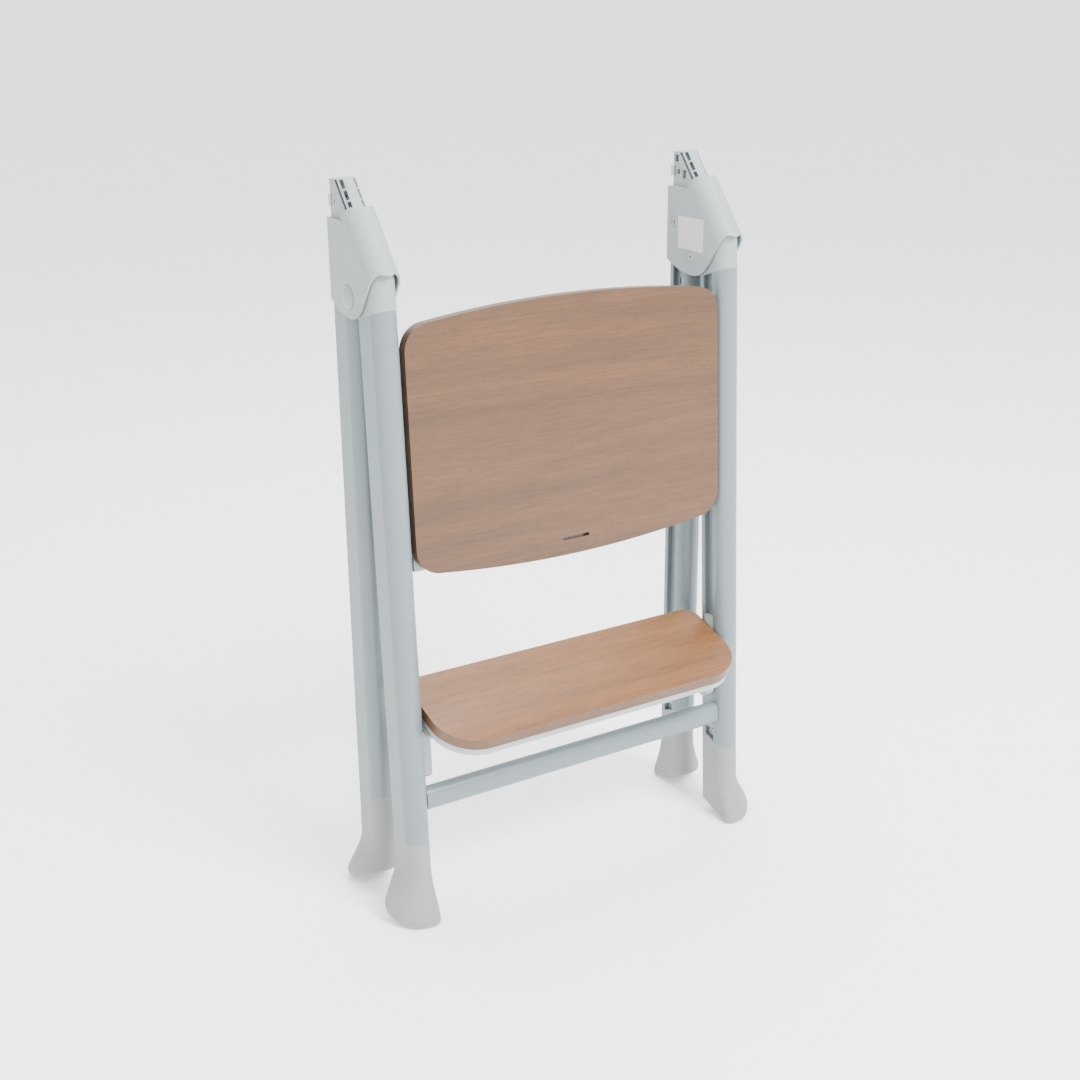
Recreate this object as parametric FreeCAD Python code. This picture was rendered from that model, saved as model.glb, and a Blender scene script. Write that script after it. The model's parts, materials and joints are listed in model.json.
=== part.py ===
import FreeCAD, Part
import math
import os

# Folding children's seat frame with a fold-up seat board and a sliding step board.
# Shown folded and standing up. Millimetres, +Z up, -Y is the front, origin on the floor
# under the middle of the frame. The right-hand side is built and mirrored to the left.

V = FreeCAD.Vector
X_AXIS = V(1, 0, 0)
Y_AXIS = V(0, 1, 0)
Z_AXIS = V(0, 0, 1)
ORIGIN = V(0, 0, 0)

# ---- driving dimensions ----
SIDE_X = 200.0            # middle of a leg from the middle of the frame
PIVOT_Y = 32.7            # hub pivot, from the origin
PIVOT_Z = 643.5
FOLDED_LEAN = 2.9         # front leg against rear leg when folded, degrees
OPEN_LEAN = 39.9          # the same when open, and the slant of the hub cover
SOLE_TILT = 20.0          # soles and foot joints against the legs, degrees

LEG_HALF = 13.5           # extruded leg: half width
LEG_DEPTH = 37.0          # rear face to nose
LEG_FLAT = 25.0           # length of the flat sides
LEG_WALL = 2.0
CHANNEL_REAR = 5.5        # inner channel, measured from the rear face
CHANNEL_FRONT = 20.0
CHANNEL_DEPTH = 5.0
REAR_FACE = 39.0          # rear leg's rear face, behind the pivot
FRONT_FACE = -13.7        # front leg's rear face, from the pivot

HUB_HALF = 16.5
HUB_WALL = 2.0
HUB_REAR = 42.5
HUB_LEDGE = 70.0
COVER_AXIS = 44.6         # distance of the cover's cylinder axis from the pivot
SPIGOT_HALF = 12.5
SPIGOT_AXIS = 39.2
SPIGOT_TOP = 106.0
SPIGOT_REAR = 40.0

BOLT_R = 3.5
BOLT_FIT = 0.05
BUTTON_R = 11.5
BUTTON_TRAVEL = 4.5
SNAP_TRAVEL = 3.0

BAR_HEIGHT = 25.5         # oval crossbars
BAR_DEPTH = 17.0
BAR_WALL = 1.8
FRONT_BAR_Z = -514.5      # along the front leg, from the pivot
FRONT_BAR_IN = 20.5       # its middle from the front leg's rear face
REAR_BAR_Z = -268.0

PLY = 12.0                # both boards
BOARD_HALF = 184.0
SEAT_BOTTOM = -282.8      # along the front leg, from the pivot
SEAT_TOP = -14.4
SEAT_FRONT = -46.7
SEAT_ARC = 13.8
SEAT_CORNER = 27.0
SEAT_HINGE = (-26.5, -262.0)

STEP_SLOPE = 20.0
STEP_AT = (-30.3, -410.4)  # a point of the step's top face over the leg channel
STEP_AHEAD = 74.8          # along the step's slope to its front and rear edges
STEP_BEHIND = 37.2
STEP_FRONT_CORNER = 46.0
STEP_REAR_CORNER = 17.0
TRAY_RIM = 8.5
TRAY_INSET = 1.2

PIVOT = V(0, PIVOT_Y, PIVOT_Z)
SLANT = math.radians(OPEN_LEAN)
DOWN_SLANT = V(0, -math.sin(SLANT), -math.cos(SLANT))
OFF_SLANT = V(0, -math.cos(SLANT), math.sin(SLANT))
CHANNEL_MID = (CHANNEL_REAR + CHANNEL_FRONT) / 2
CHANNEL_FLOOR = SIDE_X - LEG_HALF + CHANNEL_DEPTH
INNER_FACE = SIDE_X - LEG_HALF


# ---- helpers ----
def at(y, z, x=0.0):
    """A point given from the pivot, in the side view."""
    return V(x, PIVOT_Y + y, PIVOT_Z + z)


def outline(start, steps, place):
    """A closed face: each step is a corner, (middle, end) of an arc, or a list for a curve."""
    edges = []
    here = start
    for step in steps:
        if isinstance(step, list):
            curve = Part.BSplineCurve()
            curve.interpolate([place(*point) for point in [here] + step])
            edges.append(curve.toShape())
            here = step[-1]
        elif isinstance(step[0], tuple):
            edges.append(Part.Arc(place(*here), place(*step[0]), place(*step[1])).toShape())
            here = step[1]
        else:
            edges.append(Part.makeLine(place(*here), place(*step)))
            here = step
    if here != start:
        edges.append(Part.makeLine(place(*here), place(*start)))
    return Part.Face(Part.Wire(edges))


def slab(start, steps, x0, x1):
    """A side-view outline, given from the pivot, made solid between two values of X."""
    face = outline(start, steps, lambda y, z: at(y, z, x0))
    return face.extrude(V(x1 - x0, 0, 0))


def block(x0, x1, y0, y1, z0, z1):
    """A box given from the pivot in Y and Z."""
    return Part.makeBox(x1 - x0, y1 - y0, z1 - z0, at(y0, z0, x0))


def rod(r, y, z, x0, x1):
    """A cylinder along X, given from the pivot in Y and Z."""
    return Part.makeCylinder(r, x1 - x0, at(y, z, x0), X_AXIS)


def slanted(r, distance, s0, s1):
    """A cylinder parallel to the hub cover, s measured down the slant."""
    base = PIVOT + V(SIDE_X, 0, 0) + OFF_SLANT * distance + DOWN_SLANT * s0
    return Part.makeCylinder(r, s1 - s0, base, DOWN_SLANT)


def along(distance, s):
    """Side-view coordinates of a point at a distance from the slanted line through the pivot."""
    p = OFF_SLANT * distance + DOWN_SLANT * s
    return (p.y, p.z)


def lean(shape):
    """From the front leg's own upright frame to where the folded front leg stands."""
    turned = shape.copy()
    turned.rotate(PIVOT, X_AXIS, -FOLDED_LEAN)
    return turned


def mirrored(shape):
    return shape.mirror(ORIGIN, X_AXIS)


def turned_round(shape):
    """Half a turn about the upright line through the pivots."""
    turned = shape.copy()
    turned.rotate(V(0, PIVOT_Y, 0), Z_AXIS, 180)
    return turned


def save(name, solids):
    """Write one node; several separate solids make a group."""
    shape = solids[0] if len(solids) == 1 else Part.makeCompound(solids)
    shape.exportStep("parts/" + name + ".step")


def save_sides(name, right):
    save(name + "_right", [right])
    save(name + "_left", [mirrored(right)])


def save_pairs(name, rights):
    save(name, rights + [mirrored(shape) for shape in rights])


def below_plane(y, z, slope, deep=200.0):
    """A block under a plane through (y, z) that rises towards +Y by the slope in degrees."""
    rise = math.tan(math.radians(slope)) * 200
    corners = [(y + 200, z + rise), (y + 200, z - deep - 200), (y - 200, z - deep - 200)]
    return slab((y - 200, z - rise), corners, SIDE_X - 60, SIDE_X + 60)


def above_plane(y, z, slope):
    rise = math.tan(math.radians(slope)) * 200
    corners = [(y + 200, z + rise), (y + 200, z + 400), (y - 200, z + 400)]
    return slab((y - 200, z - rise), corners, SIDE_X - 60, SIDE_X + 60)


# ---- legs ----
def leg_face(rear, z, grow=0.0):
    """Outer section of a leg: flat sides and a rounded nose towards -Y."""
    half = LEG_HALF + grow
    place = lambda x, v: at(rear - v, z, SIDE_X + x)
    nose = ((0, LEG_DEPTH + grow), (-half, LEG_FLAT))
    return outline((-half, -grow), [(half, -grow), (half, LEG_FLAT), nose], place)


def leg_bar(rear, z0, z1, grow=0.0):
    return leg_face(rear, z0, grow).extrude(V(0, 0, z1 - z0))


def leg_bore(rear, z0, z1, gap=0.0):
    """The leg's hollow, made smaller by a gap for plugs that go in."""
    near = -LEG_HALF + CHANNEL_DEPTH + LEG_WALL + gap
    far = LEG_HALF - LEG_WALL - gap
    low = LEG_WALL + gap
    place = lambda x, v: at(rear - v, z0, SIDE_X + x)
    nose = ((0, LEG_DEPTH - LEG_WALL - gap), (-far, LEG_FLAT))
    corners = [(far, low), (far, LEG_FLAT), nose, (-far, CHANNEL_FRONT + LEG_WALL + gap)]
    corners.append((near, CHANNEL_FRONT + LEG_WALL + gap))
    return outline((near, low), corners, place).extrude(V(0, 0, z1 - z0))


def leg_channel(rear, z0, z1):
    front = rear - CHANNEL_FRONT
    return block(INNER_FACE - 1, CHANNEL_FLOOR, front, rear - CHANNEL_REAR, z0, z1)


def leg_tube(rear, z0, z1):
    tube = leg_bar(rear, z0, z1)
    tube = tube.cut(leg_bore(rear, z0 - 1, z1 + 1))
    return tube.cut(leg_channel(rear, z0 - 1, z1 + 1))


def slot_hole(y, z, length, width):
    """An upright slot through a channel floor."""
    half = (length - width) / 2
    x0 = CHANNEL_FLOOR - 1
    x1 = CHANNEL_FLOOR + LEG_WALL + 1
    hole = block(x0, x1, y - width / 2, y + width / 2, z - half, z + half)
    hole = hole.fuse(rod(width / 2, y, z - half, x0, x1))
    return hole.fuse(rod(width / 2, y, z + half, x0, x1))


FRONT_FOOT_JOINT = (FRONT_FACE - LEG_DEPTH, -557.5)   # at the nose
REAR_FOOT_JOINT = (REAR_FACE, -549.5)                 # at the rear face
CAP_JOINT = (FRONT_FACE, -20.0)
CAP_SLOPE = -17.0
REAR_LEG_TOP = 50.0
NOTCH_R = 17.0
FRONT_FOOT_SCREW_Z = -542.5
REAR_FOOT_SCREW_Z = -533.0


def channel_y(rear):
    return rear - CHANNEL_MID


def screw_holes(rear, heights, r):
    y = channel_y(rear)
    holes = [rod(r, y, z, CHANNEL_FLOOR - 1, CHANNEL_FLOOR + LEG_WALL + 1) for z in heights]
    return Part.makeCompound(holes)


def bar_screw_heights(bar_z):
    return (bar_z - 17.0, bar_z + 25.0)


BAR_SCREW_R = 2.2


def rear_leg():
    leg = leg_tube(REAR_FACE, -620, REAR_LEG_TOP)
    leg = leg.cut(below_plane(*REAR_FOOT_JOINT, -SOLE_TILT))
    leg = leg.cut(rod(NOTCH_R, 0, 0, SIDE_X - 20, SIDE_X + 20))
    leg = leg.cut(block(SIDE_X - 20, SIDE_X + 20, -5, 16, 0, 60))
    leg = leg.cut(rod(HUB_SCREW_R, *HUB_SCREW, SIDE_X - 20, SIDE_X + 20))
    leg = leg.cut(screw_holes(REAR_FACE, bar_screw_heights(REAR_BAR_Z), BAR_SCREW_R))
    leg = leg.cut(screw_holes(REAR_FACE, (REAR_FOOT_SCREW_Z,), BAR_SCREW_R))
    y = channel_y(REAR_FACE)
    return leg.cut(slot_hole(y, -31, 7, 2.5))


def front_leg():
    leg = leg_tube(FRONT_FACE, -620, 20)
    leg = leg.cut(below_plane(*FRONT_FOOT_JOINT, SOLE_TILT))
    leg = leg.cut(above_plane(*CAP_JOINT, CAP_SLOPE))
    y = channel_y(FRONT_FACE)
    leg = leg.cut(slot_hole(y - 2, -32, 9, 4))
    leg = leg.cut(screw_holes(FRONT_FACE, bar_screw_heights(FRONT_BAR_Z), BAR_SCREW_R))
    leg = leg.cut(screw_holes(FRONT_FACE, (FRONT_FOOT_SCREW_Z,), BAR_SCREW_R))
    return leg.cut(rod(HINGE_PIN_R, *SEAT_HINGE, CHANNEL_FLOOR - 1, CHANNEL_FLOOR + 4))


HINGE_PIN_R = 4.0


# ---- feet ----
def leg_ring():
    """The leg's outline as four runs of points: inner side, nose, outer side, rear."""
    half = LEG_HALF
    rise = LEG_DEPTH - LEG_FLAT
    r = (half ** 2 + rise ** 2) / (2 * rise)
    reach = math.asin(half / r)
    turns = [-reach + 2 * reach * k / 8 for k in range(9)]
    nose = [(r * math.sin(t), LEG_DEPTH - r + r * math.cos(t)) for t in turns]
    outer = [(half, LEG_FLAT * (1 - k / 4)) for k in range(5)]
    rear = [(half - 2 * half * k / 8, 0) for k in range(9)]
    return [[(-half, 0), (-half, LEG_FLAT)], nose, outer, rear]


def foot_wire(rear, sole, slope, height, weight, print_ring):
    """A foot's outline in a plane parallel to its sole, between the leg's and the footprint."""
    edges = []
    for leg_run, print_run in zip(leg_ring(), print_ring):
        points = []
        for (x0, v0), (x1, v1) in zip(leg_run, print_run):
            x = x0 + (x1 - x0) * weight
            y = rear - (v0 + (v1 - v0) * weight)
            z = sole[1] + (y - sole[0]) * slope + height
            points.append(at(y, z, SIDE_X + x))
        if len(points) == 2:
            edges.append(Part.makeLine(*points))
        else:
            curve = Part.BSplineCurve()
            curve.interpolate(points)
            edges.append(curve.toShape())
    return Part.Wire(edges)


def flare_weight(height):
    """How far a foot's outline has gone from the leg's to the footprint at a height."""
    if height >= FLARE_TOP:
        return 0.0
    if height < RIM:
        return 1 - 0.06 * ((RIM - height) / RIM) ** 2
    t = (height - RIM) / (FLARE_TOP - RIM)
    return 0.5 * math.cos(math.pi * t / 2) ** 2 + 0.5 * (1 - t) ** 2


def foot(rear, joint, tilt, sole, print_ring, screw_heights):
    """A plastic foot: straight below the leg, then flared to a footprint round its toe."""
    slope = math.tan(math.radians(tilt))
    wires = []
    for height in FLARE:
        weight = flare_weight(height)
        wires.append(foot_wire(rear, sole, slope, height, weight, print_ring))
    shell = Part.makeLoft(wires, True, True).cut(above_plane(*joint, tilt))
    plug = leg_bore(rear, -590, -500, 0.2).cut(below_plane(joint[0], joint[1] - 8, tilt))
    body = shell.fuse(plug)
    body = body.cut(block(INNER_FACE - 20, INNER_FACE, rear - 90, rear + 60, -700, -480))
    y = channel_y(rear)
    for height in screw_heights:
        body = body.cut(rod(BAR_SCREW_R, y, height, CHANNEL_FLOOR, CHANNEL_FLOOR + 13))
    split = (sole[0], sole[1] + SOLE_THICK)
    pad = body.common(below_plane(*split, tilt))
    return body.cut(below_plane(*split, tilt)), pad


RIM = 7.0                 # height of a foot's widest line above its sole
FLARE_TOP = 50.0
FLARE = [125.0, 50.0, 45.0, 41.0, 37.0, 33.5, 30.0, 27.0, 24.0, 21.5, 19.0, 16.5, 14.5, 12.5, 10.5]
FLARE += [8.8, 7.0, 5.0, 3.0, 1.5, 0.0]
SOLE_THICK = 2.6
FRONT_SOLE = (-58.0, -646.44)   # a point of the sole plane near the toe
REAR_SOLE = (55.0, -643.1)
FRONT_PRINT = (
    ((-13.5, 0), (-13.5, 41)),
    ((-13.5, 41), (-12.3, 44.5), (-8.5, 46.8), (-2, 47.5), (6, 46.8), (14, 44), (21, 39.5),
     (26.5, 33.5), (30.5, 26)),
    ((30.5, 26), (33.3, 20), (34.3, 14), (33, 7.5), (29.5, 2)),
    ((29.5, 2), (25.5, -0.6), (21, -2), (15, -2.6), (8, -2.6), (1, -2.2), (-5, -1.5),
     (-10, -0.8), (-13.5, 0)),
)
REAR_PRINT = (
    ((-13.5, -13), (-13.5, 27)),
    ((-13.5, 27), (-12.5, 31), (-9.5, 35), (-4.5, 37.5), (1, 38.3), (7, 37.6), (13, 35),
     (18.5, 31.5), (23.5, 27)),
    ((23.5, 27), (28.5, 20.5), (32, 13), (33, 5), (31.5, -2.5)),
    ((31.5, -2.5), (28, -8.5), (22.5, -13.3), (15.5, -16.4), (8, -17.8), (1, -18), (-5.5, -17.6),
     (-11, -16), (-13.5, -13)),
)


# ---- hub ----
HUB_SCREW = (30.0, 33.0)
HUB_SCREW_R = 2.5
HEAD_R = 5.2
CAVITY_HALF = HUB_HALF - HUB_WALL
CAP_SWEEP_R = 57.0
CAP_TOP = 28.0
BOSS_R = 15.5
BOSS_INNER = -12.5
BOSS_OUTER = 3.0
WELL_R = 11.9
WELL_WALL = 14.0
WELL_FLOOR = (6.5, 9.0)
GEAR_R = 8.8
TOOTH_R = 10.8
TOOTH_WIDTH = 2.6
TEETH = 10
GEAR_REST = (1.0, 6.0)
GEAR_BORE_R = 4.1
SOCKET_R = 11.3
SOCKET_FLOOR = -8.5
PUSH_PIN_R = 1.5
PUSH_PIN_RING = 9.3
BUSH_R = 5.5


def hub_bottom():
    """Everything under the hub: an arch for the leg and a rounded tongue round the pivot."""
    arch = [(-59.8, 24.4), (-56.0, 27.6), (-52.8, 28.2), (-50.2, 26.0), (-47.6, 21.8)]
    arch += [(-43.6, 15.2), (-35.3, 2.6)]
    tongue = [(-27.5, -8.2), (-19.0, -15.8), (-8.0, -19.4), (4.0, -19.4), (16.0, -17.6)]
    tongue += [(30.0, -13.0), (HUB_REAR, -7.5)]
    steps = [(-63.3, 19.8), arch + tongue, (60.0, -7.5), (60.0, -80.0), (-110.0, -80.0)]
    return slab((-110.0, -10.0), steps, SIDE_X - 30, SIDE_X + 30)


def hub_body():
    """The closed outer shape of a hub without its spigot."""
    top = along(COVER_AXIS, (COVER_AXIS * OFF_SLANT.z - HUB_LEDGE) / math.cos(SLANT))
    end = along(COVER_AXIS, 80.0)
    steps = [top, end, (HUB_REAR, end[1])]
    body = slab((HUB_REAR, HUB_LEDGE), steps, SIDE_X - HUB_HALF, SIDE_X + HUB_HALF)
    cover = slanted(HUB_HALF, COVER_AXIS, -62.0, 80.0)
    crest = along(COVER_AXIS + HUB_HALF, -57.0)
    inner = along(SPIGOT_AXIS + SPIGOT_HALF, -66.0)
    back = along(0.0, -66.0)
    shoulder = [inner, back, (back[0], 120.0), (-80.0, 120.0), (-80.0, crest[1])]
    cover = cover.cut(slab(crest, shoulder, SIDE_X - 30, SIDE_X + 30))
    body = body.fuse(cover).cut(hub_bottom())
    return body.cut(rear_strip())


def rear_strip():
    """The outer face falls away behind an upright crease in line with the leg's."""
    crease = 14.0
    face = SIDE_X + HUB_HALF
    place = lambda x, y: at(y, -30, x)
    wedge = outline((face, crease), [(face - 1.9, HUB_REAR + 1), (face + 9, HUB_REAR + 1)], place)
    return wedge.extrude(V(0, 0, 110))


def hub_cavity():
    """Room for the rear leg, the front leg's cap and its swing."""
    half = CAVITY_HALF
    top = along(COVER_AXIS, (COVER_AXIS * OFF_SLANT.z - 66.0) / math.cos(SLANT))
    end = along(COVER_AXIS, 90.0)
    steps = [top, end, (end[0], -80.0), (18.0, -80.0)]
    room = slab((18.0, 66.0), steps, SIDE_X - half, SIDE_X + half)
    room = room.fuse(slanted(half, COVER_AXIS, -50.0, 90.0))
    socket = block(INNER_FACE, SIDE_X + LEG_HALF, -5.0, REAR_FACE, -80.0, REAR_LEG_TOP)
    return room.fuse(socket)


def spigot():
    """The slanted spigot that takes the upper frame."""
    start = along(SPIGOT_AXIS, (SPIGOT_AXIS * OFF_SLANT.z - 60.0) / math.cos(SLANT))
    end = along(SPIGOT_AXIS, (SPIGOT_AXIS * OFF_SLANT.z - SPIGOT_TOP) / math.cos(SLANT))
    half = SPIGOT_HALF
    steps = [(SPIGOT_REAR, SPIGOT_TOP), end, start]
    web = slab((SPIGOT_REAR, 60.0), steps, SIDE_X - half, SIDE_X + half)
    nose = slanted(half, SPIGOT_AXIS, -125.0, -40.0)
    lid = block(SIDE_X - 30, SIDE_X + 30, -80, 80, SPIGOT_TOP, SPIGOT_TOP + 60)
    body = web.fuse(nose).cut(lid)
    behind = block(SIDE_X - 30, SIDE_X + 30, SPIGOT_REAR, 90, 40, 160)
    body = body.cut(behind)
    for side in (-1, 1):
        body = body.cut(web_step(side))
        body = body.cut(lengthwise_cut(side, 31.0, 3.0, 5.0, -99.5, -62.0))
        for k in range(3):
            s0 = -97.0 + k * 12.3
            body = body.cut(lengthwise_cut(side, 56.0, 3.6, 7.0, s0, s0 + 10.6))
    return body


def web_step(side):
    """The web behind the rounded nose is a little thinner, which leaves a rib."""
    x0 = SIDE_X + side * 11.3
    x1 = SIDE_X + side * 30.0
    front = SPIGOT_AXIS - 1.0
    corners = [along(front, -40.0), (60.0, 20.0), (60.0, 150.0)]
    return slab(along(front, -140.0), corners, x0, x1)


def lengthwise_cut(side, angle, width, depth, s0, s1):
    """A groove or slot along the spigot's nose, at an angle forward of its side."""
    turn = math.radians(angle)
    out = X_AXIS * (side * math.cos(turn)) + OFF_SLANT * math.sin(turn)
    across = X_AXIS * (-side * math.sin(turn)) + OFF_SLANT * math.cos(turn)
    middle = PIVOT + V(SIDE_X, 0, 0) + OFF_SLANT * SPIGOT_AXIS + out * (SPIGOT_HALF - depth)
    ends = [(s0, -width / 2), (s1, -width / 2), (s1, width / 2), (s0, width / 2), (s0, -width / 2)]
    points = [middle + DOWN_SLANT * s + across * w for s, w in ends]
    return Part.Face(Part.makePolygon(points)).extrude(out * (depth + 2))


SNAP_Z = (80.0, 91.0)
SNAP_HALF = 4.5
SNAP_HEAD = 11.0
SNAP_FRONT = 27.0
SNAP_SHOULDER = 39.2
SNAP_PROUD = 6.5
NOTCH_FRONT = 35.8
POCKET_FRONT = 19.0
GAP = 0.35


def snap_pocket():
    """The stem's pocket and the notch across the web that the head sits in."""
    z0, z1 = SNAP_Z
    half = SNAP_HALF + GAP
    pocket = block(SIDE_X - half, SIDE_X + half, POCKET_FRONT, 60, z0 - GAP, z1 + GAP)
    return pocket.fuse(block(SIDE_X - 20, SIDE_X + 20, NOTCH_FRONT, 60, z0 - GAP, z1 + GAP))


def snap_button():
    z0, z1 = SNAP_Z
    rear = SPIGOT_REAR + SNAP_PROUD
    stem = block(SIDE_X - SNAP_HALF, SIDE_X + SNAP_HALF, SNAP_FRONT, rear, z0, z1)
    head = block(SIDE_X - SNAP_HEAD, SIDE_X + SNAP_HEAD, SNAP_SHOULDER, rear, z0, z1)
    body = stem.fuse(head).removeSplitter()
    tip = [edge for edge in body.Edges if all(v.Y > PIVOT_Y + rear - 0.01 for v in edge.Vertexes)]
    return body.makeFillet(2.0, tip)


def coil(r, wire, length, turns, base, direction):
    """A compression spring of square wire."""
    pitch = length / turns
    helix = Part.makeHelix(pitch, length, r)
    h = wire / 2
    corners = [V(r - h, 0, -h), V(r + h, 0, -h), V(r + h, 0, h), V(r - h, 0, h), V(r - h, 0, -h)]
    spring = Part.Wire(helix).makePipeShell([Part.makePolygon(corners)], True, True)
    spring.Placement = FreeCAD.Placement(base, FreeCAD.Rotation(Z_AXIS, direction))
    return spring


def snap_spring():
    z = (SNAP_Z[0] + SNAP_Z[1]) / 2
    length = SNAP_FRONT - SNAP_TRAVEL - POCKET_FRONT - 1.4
    return coil(3.2, 0.7, length, 2, at(POCKET_FRONT + 0.5, z, SIDE_X), Y_AXIS)


def gear_shape(disc, tip, width, u0, u1):
    """A toothed disc about the pivot."""
    gear = rod(disc, 0, 0, SIDE_X + u0, SIDE_X + u1)
    for k in range(TEETH):
        tooth = block(SIDE_X + u0, SIDE_X + u1, -width / 2, width / 2, 0, tip)
        tooth.rotate(PIVOT, X_AXIS, k * 360 / TEETH)
        gear = gear.fuse(tooth)
    rim = rod(tip, 0, 0, SIDE_X + u0, SIDE_X + u1)
    return gear.common(rim)


def push_pins(r, u0, u1):
    pins = []
    for k in range(3):
        turn = math.radians(90 + 120 * k)
        y = PUSH_PIN_RING * math.cos(turn)
        z = PUSH_PIN_RING * math.sin(turn)
        pins.append(rod(r, y, z, SIDE_X + u0, SIDE_X + u1))
    return pins


def hub_outer_shell(hub):
    half = hub.common(block(SIDE_X, SIDE_X + 40, -100, 80, -80, 160))
    half = half.cut(hub_cavity())
    tower = rod(WELL_WALL, 0, 0, SIDE_X + BOSS_OUTER + GAP, SIDE_X + HUB_HALF - 1)
    half = half.fuse(tower)
    half = half.cut(rod(WELL_R, 0, 0, SIDE_X + WELL_FLOOR[1], SIDE_X + 30))
    slack = 0.35
    teeth = gear_shape(GEAR_R + slack, TOOTH_R + slack, TOOTH_WIDTH + 2 * slack, 0, WELL_FLOOR[0])
    half = half.cut(teeth)
    half = half.cut(rod(BOLT_R + BOLT_FIT, 0, 0, SIDE_X, SIDE_X + 20))
    for pin in push_pins(PUSH_PIN_R + 0.4, 0, 20):
        half = half.cut(pin)
    half = half.cut(snap_pocket())
    half = half.cut(rod(HUB_SCREW_R - 0.3, *HUB_SCREW, SIDE_X, SIDE_X + 15.4))
    return half.cut(rod(1.4, 31.0, 85.5, SIDE_X + 8, SIDE_X + 14))


def hub_inner_shell(hub):
    half = hub.common(block(SIDE_X - 40, SIDE_X, -100, 80, -80, 160))
    half = half.cut(hub_cavity())
    face = SIDE_X - HUB_HALF
    half = half.fuse(rod(9.0, 0, 0, face, SIDE_X + BOSS_INNER - GAP))
    half = half.cut(rod(HEAD_R + 0.4, 0, 0, face - 1, face + 2.2))
    half = half.cut(rod(BOLT_R + BOLT_FIT, 0, 0, face - 1, SIDE_X))
    half = half.cut(rod(HEAD_R + 0.4, *HUB_SCREW, face - 1, face + 1.8))
    half = half.cut(rod(HUB_SCREW_R + 0.1, *HUB_SCREW, face - 1, SIDE_X))
    half = half.cut(snap_pocket())
    half = half.cut(block(SIDE_X - 14, SIDE_X - SNAP_HALF, 28.5, 33.5, 83, 88))
    half = half.cut(block(SIDE_X - 14, SIDE_X - 4.0, 30.0, 37.5, 95.5, 103.0))
    return half.cut(block(SIDE_X - 14, SIDE_X - 5.5, 16.5, 23.5, 79.0, 88.0))


def screw(r, head_r, head, y, z, x_head, x_end):
    """A screw along X with a cross-slotted pan head; x_head is the head's outer face."""
    way = 1 if x_end > x_head else -1
    neck = x_head + way * head
    body = rod(head_r, y, z, min(x_head, neck), max(x_head, neck))
    body = body.fuse(rod(r, y, z, min(neck, x_end), max(neck, x_end)))
    depth = x_head + way * head * 0.6
    x0, x1 = sorted((x_head - way, depth))
    arm = head_r * 0.62
    body = body.cut(block(x0, x1, y - arm, y + arm, z - 0.6, z + 0.6))
    return body.cut(block(x0, x1, y - 0.6, y + 0.6, z - arm, z + arm))


def pivot_bolt():
    return screw(BOLT_R, HEAD_R, 2.0, 0, 0, SIDE_X - HUB_HALF + 0.2, SIDE_X + 12.0)


def pivot_nut():
    x0 = SIDE_X + WELL_FLOOR[1]
    corners = []
    for k in range(7):
        turn = math.radians(60 * k)
        corners.append(at(5.7 * math.cos(turn), 5.7 * math.sin(turn), x0))
    nut = Part.Face(Part.makePolygon(corners)).extrude(V(3.0, 0, 0))
    return nut.cut(rod(BOLT_R, 0, 0, x0 - 1, x0 + 5))


def hub_screw():
    return screw(HUB_SCREW_R - 0.3, HEAD_R, 1.6, *HUB_SCREW, SIDE_X - HUB_HALF + 0.2, SIDE_X + 15.2)


def lock_gear():
    gear = gear_shape(GEAR_R, TOOTH_R, TOOTH_WIDTH, *GEAR_REST)
    return gear.cut(rod(GEAR_BORE_R, 0, 0, SIDE_X - 20, SIDE_X + 20))


def lock_spring():
    length = GEAR_REST[0] - BUTTON_TRAVEL - SOCKET_FLOOR - 1.4
    base = at(0, 0, SIDE_X + SOCKET_FLOOR + 0.6)
    return coil(6.5, 1.0, length, 2, base, X_AXIS)


def release_button():
    """A domed round button with three legs that reach the lock gear."""
    low = WELL_FLOOR[1] + BUTTON_TRAVEL + 0.5
    edge = HUB_HALF + 0.5
    dome_height = 3.2
    dome_r = (BUTTON_R ** 2 + dome_height ** 2) / (2 * dome_height)
    centre = at(0, 0, SIDE_X + edge + dome_height - dome_r)
    body = rod(BUTTON_R, 0, 0, SIDE_X + low, SIDE_X + edge + dome_height)
    body = body.common(Part.makeSphere(dome_r, centre))
    body = body.cut(rod(7.6, 0, 0, SIDE_X + low - 1, SIDE_X + 17.0))
    for pin in push_pins(PUSH_PIN_R, GEAR_REST[1], low + 1):
        body = body.fuse(pin)
    return body


def leg_cap():
    """The front leg's plastic head: it swings inside the hub about the pivot."""
    head = leg_bar(FRONT_FACE, -40, CAP_TOP).cut(below_plane(*CAP_JOINT, CAP_SLOPE))
    head = head.common(rod(CAP_SWEEP_R, 0, 0, SIDE_X - 20, SIDE_X + 20))
    head = head.cut(rod(WELL_WALL + 1, 0, 0, SIDE_X + BOSS_OUTER, SIDE_X + 20))
    x0, x1 = SIDE_X + BOSS_INNER, SIDE_X + BOSS_OUTER
    head = head.fuse(rod(BOSS_R, 0, 0, x0, x1))
    arm = block(x0, x1, -25, -2, -BOSS_R, BOSS_R)
    head = head.fuse(arm.cut(below_plane(*CAP_JOINT, CAP_SLOPE)))
    plug = leg_bore(FRONT_FACE, -50, 10, 0.2).cut(above_plane(CAP_JOINT[0], CAP_JOINT[1] + 8, CAP_SLOPE))
    head = head.fuse(plug)
    head = head.cut(rod(SOCKET_R, 0, 0, SIDE_X + SOCKET_FLOOR, x1 + 1))
    return head.cut(rod(BUSH_R, 0, 0, x0 - 1, SIDE_X)).removeSplitter()


def pivot_bush():
    bush = rod(BUSH_R, 0, 0, SIDE_X + BOSS_INNER, SIDE_X + SOCKET_FLOOR)
    return bush.cut(rod(BOLT_R + BOLT_FIT, 0, 0, SIDE_X - 30, SIDE_X))


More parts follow.
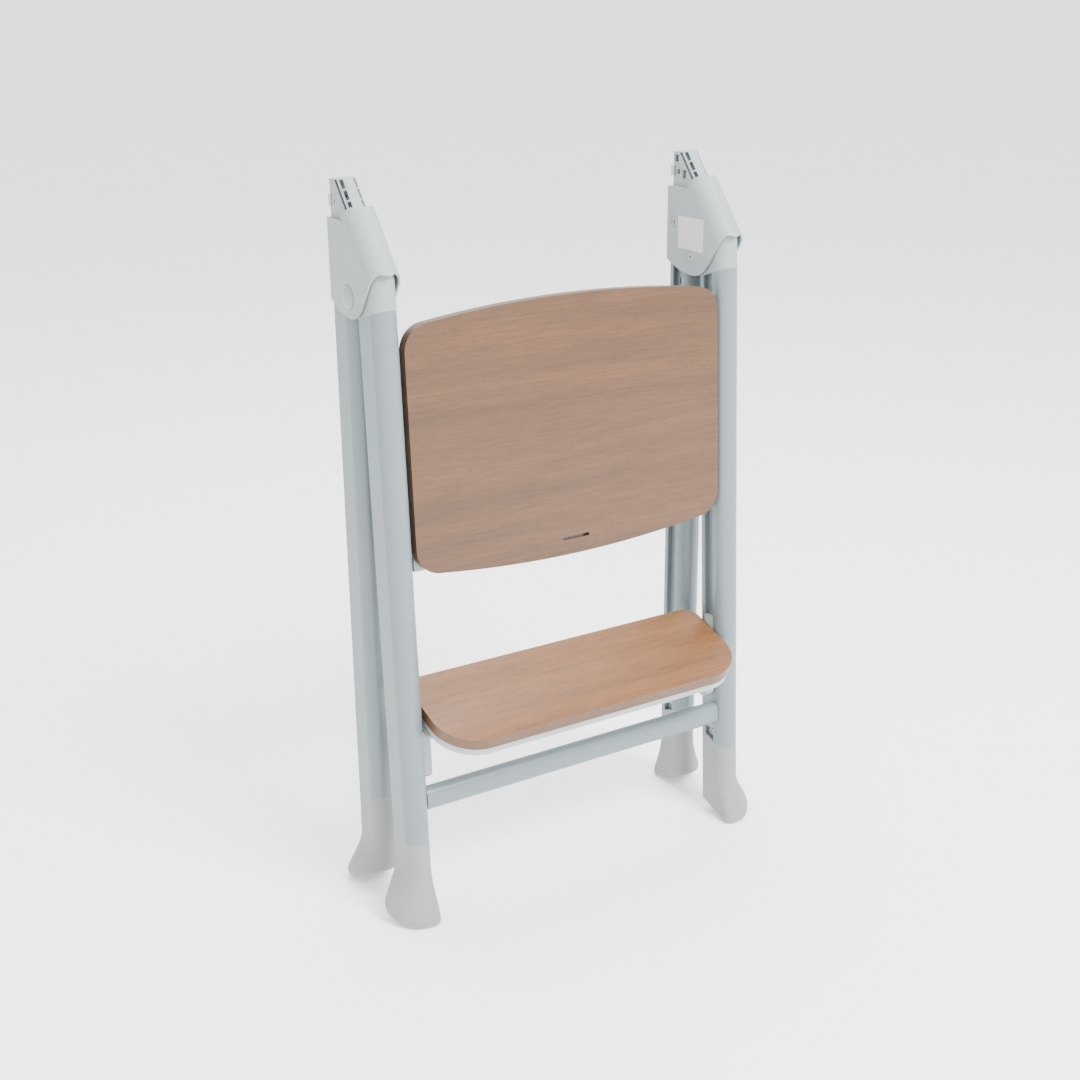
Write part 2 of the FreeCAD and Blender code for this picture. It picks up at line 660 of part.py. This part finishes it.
def rating_label():
    """A blank label on the right hub's inner face, cut round the two screws."""
    face = SIDE_X - HUB_HALF
    label = block(face - 0.3, face, -22.0, 22.5, 6.5, 41.0)
    label = label.cut(rod(7.0, 0, 0, face - 1, face + 1))
    return label.cut(rod(7.0, *HUB_SCREW, face - 1, face + 1))


# ---- crossbars ----
def oval(y, z, grow, x0, x1):
    """A flat-sided oval bar along X."""
    half = BAR_DEPTH / 2 + grow
    flat = (BAR_HEIGHT - BAR_DEPTH) / 2
    top = ((y, z + flat + half), (y - half, z + flat))
    bottom = ((y, z - flat - half), (y + half, z - flat))
    return slab((y + half, z + flat), [top, (y - half, z - flat), bottom], x0, x1)


def crossbar(y, z):
    bar = oval(y, z, 0, -INNER_FACE, INNER_FACE)
    return bar.cut(oval(y, z, -BAR_WALL, -INNER_FACE - 1, INNER_FACE + 1))


def bar_fitting(y, z, rear):
    """The bar's end fitting: a plug in the tube and a plate screwed into the leg channel."""
    gap = 0.3
    mid = channel_y(rear)
    half = (CHANNEL_FRONT - CHANNEL_REAR) / 2 - gap
    plate = block(INNER_FACE, CHANNEL_FLOOR, mid - half, mid + half, z - 21, z + 29)
    plug = oval(y, z, -BAR_WALL - 0.1, INNER_FACE - 28, INNER_FACE)
    fitting = plate.fuse(plug)
    for height in bar_screw_heights(z):
        fitting = fitting.cut(rod(BAR_SCREW_R, mid, height, INNER_FACE - 1, CHANNEL_FLOOR + 1))
        fitting = fitting.cut(rod(3.8, mid, height, INNER_FACE - 1, INNER_FACE + 2.4))
    return fitting


def bar_screws(z, rear):
    mid = channel_y(rear)
    x0 = INNER_FACE + 0.4
    x1 = CHANNEL_FLOOR + 7
    return [screw(BAR_SCREW_R, 3.6, 2.0, mid, height, x0, x1) for height in bar_screw_heights(z)]


def foot_screw(rear, height):
    mid = channel_y(rear)
    return screw(BAR_SCREW_R, 3.6, 1.8, mid, height, CHANNEL_FLOOR - 1.8, CHANNEL_FLOOR + 12)


# ---- seat ----
def seat_board():
    """Plywood with bowed long edges, round corners and a strap slot."""
    low = SEAT_BOTTOM + SEAT_ARC
    high = SEAT_TOP - SEAT_ARC
    w = BOARD_HALF
    place = lambda x, z: at(SEAT_FRONT, z, x)
    steps = [(w, high), ((0, SEAT_TOP), (-w, high)), (-w, low), ((0, SEAT_BOTTOM), (w, low))]
    board = outline((w, low), steps, place).extrude(V(0, PLY, 0))
    corners = [edge for edge in board.Edges if is_board_corner(edge)]
    board = board.makeFillet(SEAT_CORNER, corners)
    slot = block(-16, 16, SEAT_FRONT - 1, SEAT_FRONT + PLY + 1, STRAP_Z - 1.6, STRAP_Z + 1.6)
    board = board.cut(slot)
    for x, z in seat_screw_places():
        for side in (-1, 1):
            pilot = Part.makeCylinder(SEAT_SCREW_R, 11, at(SEAT_FRONT + PLY, z, side * x), V(0, -1, 0))
            board = board.cut(pilot)
    return board


def is_board_corner(edge):
    ends = edge.Vertexes
    return len(ends) == 2 and abs(ends[0].Y - ends[1].Y) > PLY - 1


STRAP_Z = -265.0
EAR_X = (179.5, 182.0)
EAR_R = 8.0
PLATE = 2.0


def seat_bracket():
    """A steel angle: a plate screwed to the board and an ear round the hinge pin."""
    y, z = SEAT_HINGE
    back = SEAT_FRONT + PLY
    x0, x1 = EAR_X
    ear = block(x0, x1, back, y, z - EAR_R, z + EAR_R)
    ear = ear.fuse(rod(EAR_R, y, z, x0, x1))
    plate = block(x0 - 32, x1, back, back + PLATE, z - EAR_R, z + 60)
    bracket = ear.fuse(plate).cut(rod(HINGE_PIN_R + BOLT_FIT, y, z, x0 - 1, x1 + 1))
    for sx, sz in seat_screw_places():
        hole = Part.makeCylinder(SEAT_SCREW_R, 10, at(back - 1, sz, sx), Y_AXIS)
        bracket = bracket.cut(hole)
    return bracket


SEAT_SCREW_R = 2.0


def seat_screw_places():
    z = SEAT_HINGE[1]
    return [(EAR_X[0] - 20, z + 6), (EAR_X[0] - 20, z + 46)]


def upright_screw(x, y, z, r, head_r, head, length):
    """A wood screw along -Y; y is the face under its head."""
    body = Part.makeCylinder(head_r, head, at(y, z, x), Y_AXIS)
    body = body.fuse(Part.makeCylinder(r, length, at(y, z, x), V(0, -1, 0)))
    cut_y = y + head * 0.45
    body = body.cut(block(x - 2.2, x + 2.2, cut_y, y + head + 1, z - 0.5, z + 0.5))
    return body.cut(block(x - 0.5, x + 0.5, cut_y, y + head + 1, z - 2.2, z + 2.2))


def seat_screws():
    back = SEAT_FRONT + PLY + PLATE
    return [upright_screw(x, back, z, SEAT_SCREW_R, 3.6, 1.6, 11) for x, z in seat_screw_places()]


def seat_hinge_pin():
    """A shouldered pin held in the leg's channel floor."""
    y, z = SEAT_HINGE
    pin = rod(HINGE_PIN_R, y, z, EAR_X[0] - 1.5, CHANNEL_FLOOR + 3.5)
    return pin.fuse(rod(6.5, y, z, EAR_X[1] + 0.4, CHANNEL_FLOOR))


# ---- step ----
SLOPE = math.radians(STEP_SLOPE)


def on_step(shape):
    """From a level frame, with the step's top face at z = 0, to the tilted step."""
    tilted = shape.copy()
    tilted.translate(at(*STEP_AT))
    tilted.rotate(at(*STEP_AT), X_AXIS, STEP_SLOPE)
    return tilted


def step_plate(inset, z0, z1):
    """The step's outline: large front corners and small rear ones."""
    w = BOARD_HALF - inset
    ahead = -STEP_AHEAD + inset
    behind = STEP_BEHIND - inset
    fr = STEP_FRONT_CORNER - inset
    rr = STEP_REAR_CORNER - inset
    k = 1 - math.sqrt(0.5)
    place = lambda x, y: V(x, y, z0)
    steps = [(w, behind - rr), ((w - rr * k, behind - rr * k), (w - rr, behind))]
    steps += [(-w + rr, behind), ((-w + rr * k, behind - rr * k), (-w, behind - rr))]
    steps += [(-w, ahead + fr), ((-w + fr * k, ahead + fr * k), (-w + fr, ahead))]
    steps += [(w - fr, ahead), ((w - fr * k, ahead + fr * k), (w, ahead + fr))]
    return outline((w, ahead + fr), steps, place).extrude(V(0, 0, z1 - z0))


def step_board():
    board = step_plate(0, -PLY, 0)
    for x, y in tray_screw_places():
        board = board.cut(Part.makeCylinder(2.0, 8, V(x, y, -PLY)))
    return on_step(board)


def step_tray():
    """A shallow plastic tray under the step with ribs, screw towers and a small front tab."""
    low = -PLY - TRAY_RIM
    tray = step_plate(TRAY_INSET, low, -PLY)
    tray = tray.cut(step_plate(TRAY_INSET + 2.5, low + 2.0, -PLY + 1))
    for k in range(-2, 3):
        x = k * 60.0
        rib = Part.makeBox(2, 100, 6.5, V(x - 1, -STEP_AHEAD + 6, low + 1.9))
        tray = tray.fuse(rib.common(step_plate(TRAY_INSET + 1, low, -PLY)))
    for x, y in tray_screw_places():
        tray = tray.fuse(Part.makeCylinder(5, 6.5, V(x, y, low + 1.9)))
        tray = tray.cut(Part.makeCylinder(2.0, 40, V(x, y, low - 1)))
        tray = tray.cut(Part.makeCylinder(3.8, 3.5, V(x, y, low - 1)))
    tab = Part.makeBox(14, 4, 3.5, V(74, -STEP_AHEAD + 3, low - 3.0))
    return on_step(tray.fuse(tab))


def tray_screw_places():
    return [(x, y) for x in (-150.0, -30.0, 30.0, 150.0) for y in (-45.0, 20.0)]


def tray_screws():
    low = -PLY - TRAY_RIM
    screws = []
    for x, y in tray_screw_places():
        head = Part.makeCylinder(3.6, 2.0, V(x, y, low + 0.5))
        shank = Part.makeCylinder(2.0, 14, V(x, y, low + 2.4))
        body = head.fuse(shank)
        body = body.cut(Part.makeBox(4.4, 1.0, 1.2, V(x - 2.2, y - 0.5, low + 0.4)))
        body = body.cut(Part.makeBox(1.0, 4.4, 1.2, V(x - 0.5, y - 2.2, low + 0.4)))
        screws.append(on_step(body))
    return screws


LUG_X = (176.0, 185.7)
LUG_HALF = 9.5
LUG_LOW = -494.0
SLIDER_Z = (-481.0, -399.0)
SLIDER_GAP = 0.5


def step_bracket():
    """The step's side bracket: a round-ended lug and a slider that runs in the leg channel."""
    mid = channel_y(FRONT_FACE)
    x0, x1 = LUG_X
    end = LUG_LOW + LUG_HALF
    lug = block(x0, x1, mid - LUG_HALF, mid + LUG_HALF, end, -400)
    lug = lug.fuse(rod(LUG_HALF, mid, end, x0, x1))
    foot_pad = block(x0 - 19, x1, mid - 24, mid + 24, -470, -400)
    lug = lug.fuse(foot_pad)
    under = on_step(Part.makeBox(600, 400, 200, V(-300, -200, -PLY - TRAY_RIM)))
    lug = lug.cut(under)
    pad_low = on_step(Part.makeBox(600, 400, 200, V(-300, -200, -PLY - TRAY_RIM - 203)))
    lug = lug.cut(pad_low.common(block(x0 - 25, x0, -80, 60, -600, -300)))
    lug = lug.cut(pad_low.common(block(x0, x1, -80, mid - LUG_HALF, -600, -300)))
    lug = lug.cut(pad_low.common(block(x0, x1, mid + LUG_HALF, 60, -600, -300)))
    half = (CHANNEL_FRONT - CHANNEL_REAR) / 2 - SLIDER_GAP
    low, high = SLIDER_Z
    slider = block(x1, CHANNEL_FLOOR - SLIDER_GAP, mid - half, mid + half, low, high)
    return lug.fuse(slider).removeSplitter()


# ---- write every node ----
def main():
    os.makedirs("parts", exist_ok=True)
    hub = hub_body().fuse(spigot())
    save_sides("hub_outer_shell", hub_outer_shell(hub))
    save_sides("hub_inner_shell", hub_inner_shell(hub))
    save_sides("rear_leg", rear_leg())
    heights = [REAR_FOOT_SCREW_Z]
    body, pad = foot(REAR_FACE, REAR_FOOT_JOINT, -SOLE_TILT, REAR_SOLE, REAR_PRINT, heights)
    save_sides("rear_foot", body)
    save_sides("rear_sole", pad)
    save_pairs("rear_foot_screws", [foot_screw(REAR_FACE, REAR_FOOT_SCREW_Z)])
    save_pairs("pivot_bolts", [pivot_bolt()])
    save_pairs("pivot_nuts", [pivot_nut()])
    save_pairs("hub_screws", [hub_screw()])
    save_pairs("snap_springs", [snap_spring()])
    save_sides("snap_button", snap_button())
    save_sides("release_button", release_button())
    save_sides("lock_gear", lock_gear())
    save("rating_label", [rating_label()])

    bar_y = channel_y(REAR_FACE)
    save("rear_crossbar", [crossbar(bar_y, REAR_BAR_Z)])
    save_pairs("rear_bar_fittings", [bar_fitting(bar_y, REAR_BAR_Z, REAR_FACE)])
    save_pairs("rear_bar_screws", bar_screws(REAR_BAR_Z, REAR_FACE))

    save_sides("front_leg", lean(front_leg()))
    save_sides("leg_cap", lean(leg_cap()))
    save_pairs("pivot_bushes", [lean(pivot_bush())])
    save("lock_springs", [lock_spring(), turned_round(lock_spring())])
    heights = [FRONT_FOOT_SCREW_Z, bar_screw_heights(FRONT_BAR_Z)[0]]
    body, pad = foot(FRONT_FACE, FRONT_FOOT_JOINT, SOLE_TILT, FRONT_SOLE, FRONT_PRINT, heights)
    save_sides("front_foot", lean(body))
    save_sides("front_sole", lean(pad))
    save_pairs("front_foot_screws", [lean(foot_screw(FRONT_FACE, FRONT_FOOT_SCREW_Z))])
    bar_y = FRONT_FACE - FRONT_BAR_IN
    save("front_crossbar", [lean(crossbar(bar_y, FRONT_BAR_Z))])
    save_pairs("front_bar_fittings", [lean(bar_fitting(bar_y, FRONT_BAR_Z, FRONT_FACE))])
    save_pairs("front_bar_screws", [lean(s) for s in bar_screws(FRONT_BAR_Z, FRONT_FACE)])
    save_pairs("seat_hinge_pins", [lean(seat_hinge_pin())])

    save("seat_board", [lean(seat_board())])
    save_sides("seat_bracket", lean(seat_bracket()))
    save_pairs("seat_screws", [lean(s) for s in seat_screws()])

    save("step_board", [lean(step_board())])
    save("step_tray", [lean(step_tray())])
    save_sides("step_bracket", lean(step_bracket()))
    save("tray_screws", [lean(s) for s in tray_screws()])


main()
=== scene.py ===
import json
import math

import bpy
from mathutils import Matrix, Vector

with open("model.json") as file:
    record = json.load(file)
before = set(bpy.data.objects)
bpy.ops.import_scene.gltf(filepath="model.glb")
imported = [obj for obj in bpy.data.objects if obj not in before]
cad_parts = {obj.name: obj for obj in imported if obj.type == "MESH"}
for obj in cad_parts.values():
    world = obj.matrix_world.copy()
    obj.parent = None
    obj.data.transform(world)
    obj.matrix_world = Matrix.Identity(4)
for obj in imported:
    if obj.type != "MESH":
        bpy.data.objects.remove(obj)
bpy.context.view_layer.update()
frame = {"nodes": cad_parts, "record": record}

MM = 0.001
NODES = frame["nodes"]
LEAN = math.radians(2.9)          # the folded front leg, seat and step lean forward
STEP_SLOPE = math.radians(17.1)   # the step's top face falls towards the front
QUARTER = math.pi / 2
BOARD_THICK = 12 * MM
LAYER_PAIRS = 4.3                 # pairs of a face layer and an end-grain layer in a board
LAYER_START = 0.40                # where in a pair the board's face lies
WORLD_STRENGTH = 2.2
FLOOR_GLOW = 0.22                 # lets the far floor match the world behind it
FLOOR_SIZE = 60
FLOOR_DROP = 0.0005
SENSOR_WIDTH = 36
LENS = 52.52


# ---- materials ----
def new_material(name):
    mat = bpy.data.materials.new(name)
    mat.use_nodes = True
    tree = mat.node_tree
    shader = tree.nodes["Principled BSDF"]
    return mat, tree, shader


def add(tree, kind, **inputs):
    node = tree.nodes.new(kind)
    for key, value in inputs.items():
        node.inputs[key.replace("_", " ")].default_value = value
    return node


def link(tree, a, out, b, into):
    tree.links.new(a.outputs[out], b.inputs[into])


def object_point(tree, scale=(1, 1, 1), turn=(0, 0, 0), shift=(0, 0, 0)):
    coord = tree.nodes.new("ShaderNodeTexCoord")
    mapping = tree.nodes.new("ShaderNodeMapping")
    mapping.inputs["Location"].default_value = shift
    mapping.inputs["Rotation"].default_value = turn
    mapping.inputs["Scale"].default_value = scale
    link(tree, coord, "Object", mapping, "Vector")
    return mapping


def ramp(tree, source, out, stops):
    node = tree.nodes.new("ShaderNodeValToRGB")
    elements = node.color_ramp.elements
    while len(elements) < len(stops):
        elements.new(0.5)
    for element, (place, colour) in zip(elements, stops):
        element.position = place
        element.color = (*colour, 1)
    link(tree, source, out, node, "Fac")
    return node


def noise(tree, point, scale, detail=3.0, rough=0.5):
    node = add(tree, "ShaderNodeTexNoise", Scale=scale, Detail=detail, Roughness=rough)
    link(tree, point, "Vector", node, "Vector")
    return node


def bump(tree, shader, source, out, strength, distance):
    node = add(tree, "ShaderNodeBump", Strength=strength, Distance=distance)
    link(tree, source, out, node, "Height")
    link(tree, node, "Normal", shader, "Normal")


def grained(name, colour, rough, metallic=0.0, vary=0.03, grain=1500.0, strength=0.12, coat=0.0):
    """A plain coloured surface with a faint mottle and a fine grain."""
    mat, tree, shader = new_material(name)
    point = object_point(tree)
    mottle = noise(tree, point, 18.0)
    low = tuple(max(0.0, c * (1 - vary)) for c in colour)
    high = tuple(min(1.0, c * (1 + vary)) for c in colour)
    shade = ramp(tree, mottle, "Fac", [(0.3, low), (0.7, high)])
    link(tree, shade, "Color", shader, "Base Color")
    shader.inputs["Roughness"].default_value = rough
    shader.inputs["Metallic"].default_value = metallic
    shader.inputs["Coat Weight"].default_value = coat
    shader.inputs["Coat Roughness"].default_value = 0.3
    fine = noise(tree, point, grain, 2.0)
    bump(tree, shader, fine, "Fac", strength, 0.0002)
    return mat


def multiplied(tree, base, top, factor):
    """Two colours multiplied together, by a share."""
    mix = tree.nodes.new("ShaderNodeMix")
    mix.data_type = "RGBA"
    mix.blend_type = "MULTIPLY"
    mix.inputs["Factor"].default_value = factor
    tree.links.new(base, mix.inputs["A"])
    tree.links.new(top, mix.inputs["B"])
    return mix.outputs["Result"]


def plywood(name, face, dark, turn, shift, thick):
    """Layered beech: face grain runs along X, every other layer shows end grain."""
    mat, tree, shader = new_material(name)
    flat = object_point(tree, turn=turn, shift=shift)
    grain_map = tree.nodes.new("ShaderNodeMapping")
    grain_map.inputs["Scale"].default_value = (0.06, 1.0, 1.0)
    link(tree, flat, "Vector", grain_map, "Vector")
    bands = noise(tree, grain_map, 45.0, 4.0, 0.6)
    streaks = noise(tree, grain_map, 420.0, 3.0, 0.6)
    fleck_map = tree.nodes.new("ShaderNodeMapping")
    fleck_map.inputs["Scale"].default_value = (0.16, 1.0, 1.0)
    link(tree, flat, "Vector", fleck_map, "Vector")
    flecks = noise(tree, fleck_map, 900.0, 1.0, 0.4)
    light = tuple(min(1.0, c * 1.22) for c in face)
    broad = ramp(tree, bands, "Fac", [(0.32, tuple(c * 0.78 for c in face)), (0.68, light)])
    fine = ramp(tree, streaks, "Fac", [(0.3, (0.62, 0.57, 0.52)), (0.65, (1, 1, 1))])
    spots = ramp(tree, flecks, "Fac", [(0.30, (0.50, 0.42, 0.34)), (0.40, (1, 1, 1))])
    grained_face = multiplied(tree, broad.outputs["Color"], fine.outputs["Color"], 0.8)
    flecked_face = multiplied(tree, grained_face, spots.outputs["Color"], 0.55)
    # layers across the thickness
    split = tree.nodes.new("ShaderNodeSeparateXYZ")
    link(tree, flat, "Vector", split, "Vector")
    depth = add(tree, "ShaderNodeMath")
    depth.operation = "MULTIPLY_ADD"
    link(tree, split, "Z", depth, 0)
    depth.inputs[1].default_value = LAYER_PAIRS / thick
    depth.inputs[2].default_value = LAYER_START
    saw = add(tree, "ShaderNodeMath")
    saw.operation = "FRACT"
    link(tree, depth, "Value", saw, 0)
    black, white = (0, 0, 0), (1, 1, 1)
    stops = [(0.0, black), (0.47, black), (0.53, white), (0.97, white), (1.0, black)]
    cross = ramp(tree, saw, "Value", stops)
    end_grain = noise(tree, flat, 1400.0, 2.0)
    ends = ramp(tree, end_grain, "Fac", [(0.35, tuple(c * 0.8 for c in dark)), (0.65, dark)])
    final = tree.nodes.new("ShaderNodeMix")
    final.data_type = "RGBA"
    tree.links.new(cross.outputs["Color"], final.inputs["Factor"])
    tree.links.new(flecked_face, final.inputs["A"])
    tree.links.new(ends.outputs["Color"], final.inputs["B"])
    tree.links.new(final.outputs["Result"], shader.inputs["Base Color"])
    shader.inputs["Roughness"].default_value = 0.42
    shader.inputs["Coat Weight"].default_value = 0.15
    shader.inputs["Coat Roughness"].default_value = 0.35
    bump(tree, shader, streaks, "Fac", 0.08, 0.0003)
    return mat


def board_frame(node, angles):
    """The turn about X that lays a board flat, and the shift that puts its face at Z = 0."""
    best = None
    for angle in angles:
        turn = Matrix.Rotation(angle, 3, "X")
        heights = [(turn @ vertex.co).z for vertex in node.data.vertices]
        spread = max(heights) - min(heights)
        if best is None or spread < best[0]:
            best = (spread, angle, -max(heights))
    return (best[1], 0, 0), (0, 0, best[2])


def make_materials():
    made = {
        "frame_paint": grained("frame_paint", (0.155, 0.192, 0.203), 0.38, 0.10, 0.02, 2600.0, 0.08),
        "hub_plastic": grained("hub_plastic", (0.245, 0.285, 0.292), 0.50, 0.0, 0.015, 2200.0, 0.14),
        "button_plastic": grained("button_plastic", (0.240, 0.280, 0.290), 0.40, 0.0, 0.015, 2600.0, 0.08),
        "foot_plastic": grained("foot_plastic", (0.215, 0.222, 0.220), 0.55, 0.0, 0.02, 1800.0, 0.15),
        "tray_plastic": grained("tray_plastic", (0.34, 0.36, 0.37), 0.45),
        "bracket_plastic": grained("bracket_plastic", (0.33, 0.36, 0.36), 0.42),
        "fitting_plastic": grained("fitting_plastic", (0.20, 0.235, 0.24), 0.42),
        "inner_plastic": grained("inner_plastic", (0.36, 0.38, 0.38), 0.45),
        "bracket_steel": grained("bracket_steel", (0.28, 0.32, 0.32), 0.4, 0.3),
        "steel": grained("steel", (0.34, 0.34, 0.34), 0.32, 0.9, 0.05, 3000.0, 0.1),
        "spring_steel": grained("spring_steel", (0.30, 0.30, 0.31), 0.3, 1.0, 0.05, 3000.0, 0.1),
        "sole_rubber": grained("sole_rubber", (0.26, 0.26, 0.255), 0.65, 0.0, 0.03, 1500.0, 0.2),
        "label": grained("label", (0.48, 0.48, 0.47), 0.45, 0.0, 0.01, 900.0, 0.03),
    }
    # The seat ply's face and end-grain colours are the step ply's beech darkened to about 0.55 and 0.65
    # times, as painted shade on the upright seat that gets less light; the end grain being darker than the
    # face is the wood's own colour.
    turn, shift = board_frame(NODES["seat_board"], (-QUARTER + LEAN, -QUARTER - LEAN))
    made["seat_ply"] = plywood(
        "seat_ply", (0.092, 0.038, 0.011), (0.040, 0.018, 0.007), turn, shift, BOARD_THICK
    )
    turn, shift = board_frame(NODES["step_board"], (STEP_SLOPE, -STEP_SLOPE))
    made["step_ply"] = plywood(
        "step_ply", (0.165, 0.069, 0.020), (0.062, 0.028, 0.011), turn, shift, BOARD_THICK
    )
    return made


MATERIALS = make_materials()
SLOT_OF = {row["node"]: row["material_slot"] for row in frame["record"]["subparts"]}
for node_name, node in NODES.items():
    node.data.materials.clear()
    node.data.materials.append(MATERIALS[SLOT_OF[node_name]])


# ---- floor, light, camera ----
def plane(name, size, place):
    half = size / 2
    corners = [(-half, -half, 0), (half, -half, 0), (half, half, 0), (-half, half, 0)]
    mesh = bpy.data.meshes.new(name)
    mesh.from_pydata(corners, [], [(0, 1, 2, 3)])
    obj = bpy.data.objects.new(name, mesh)
    obj.location = place
    bpy.context.scene.collection.objects.link(obj)
    return obj


floor = plane("floor", FLOOR_SIZE, (0, 0, -FLOOR_DROP))
floor_mat, _, floor_shader = new_material("floor")
floor_shader.inputs["Base Color"].default_value = (0.90, 0.90, 0.90, 1)
floor_shader.inputs["Roughness"].default_value = 0.9
floor_shader.inputs["Emission Color"].default_value = (1, 1, 1, 1)
floor_shader.inputs["Emission Strength"].default_value = FLOOR_GLOW
floor.data.materials.append(floor_mat)

world = bpy.data.worlds.new("studio")
world.use_nodes = True
world.node_tree.nodes["Background"].inputs["Color"].default_value = (1, 1, 1, 1)
world.node_tree.nodes["Background"].inputs["Strength"].default_value = WORLD_STRENGTH
bpy.context.scene.world = world


def area_light(name, place, target, size, power):
    data = bpy.data.lights.new(name, "AREA")
    data.shape = "SQUARE"
    data.size = size
    data.energy = power
    lamp = bpy.data.objects.new(name, data)
    lamp.location = place
    direction = Vector(target) - Vector(place)
    lamp.rotation_euler = direction.to_track_quat("-Z", "Y").to_euler()
    bpy.context.scene.collection.objects.link(lamp)


area_light("key", (0.5, -2.0, 2.4), (0, 0, 0.4), 1.2, 200)
area_light("side", (-2.6, -0.4, 1.3), (0, 0, 0.4), 1.0, 6)
area_light("top", (0.2, 0.8, 2.8), (0, 0, 0.3), 1.6, 85)

CAMERA_AT = Vector((-0.8327, -1.3134, 0.9301))
CAMERA_AZIMUTH = math.radians(31.52)
CAMERA_DOWN = math.radians(19.84)
CAMERA_ROLL = math.radians(-0.5)
forward = Vector((
    math.sin(CAMERA_AZIMUTH) * math.cos(CAMERA_DOWN),
    math.cos(CAMERA_AZIMUTH) * math.cos(CAMERA_DOWN),
    -math.sin(CAMERA_DOWN),
))
level_right = Vector((math.cos(CAMERA_AZIMUTH), -math.sin(CAMERA_AZIMUTH), 0))
level_up = level_right.cross(forward)
right = level_right * math.cos(CAMERA_ROLL) + level_up * math.sin(CAMERA_ROLL)
up = right.cross(forward)
camera_data = bpy.data.cameras.new("camera")
camera_data.sensor_width = SENSOR_WIDTH
camera_data.lens = LENS
camera = bpy.data.objects.new("camera", camera_data)
basis = Matrix((right, up, -forward)).transposed().to_4x4()
camera.matrix_world = Matrix.Translation(CAMERA_AT) @ basis
bpy.context.scene.collection.objects.link(camera)
bpy.context.scene.camera = camera
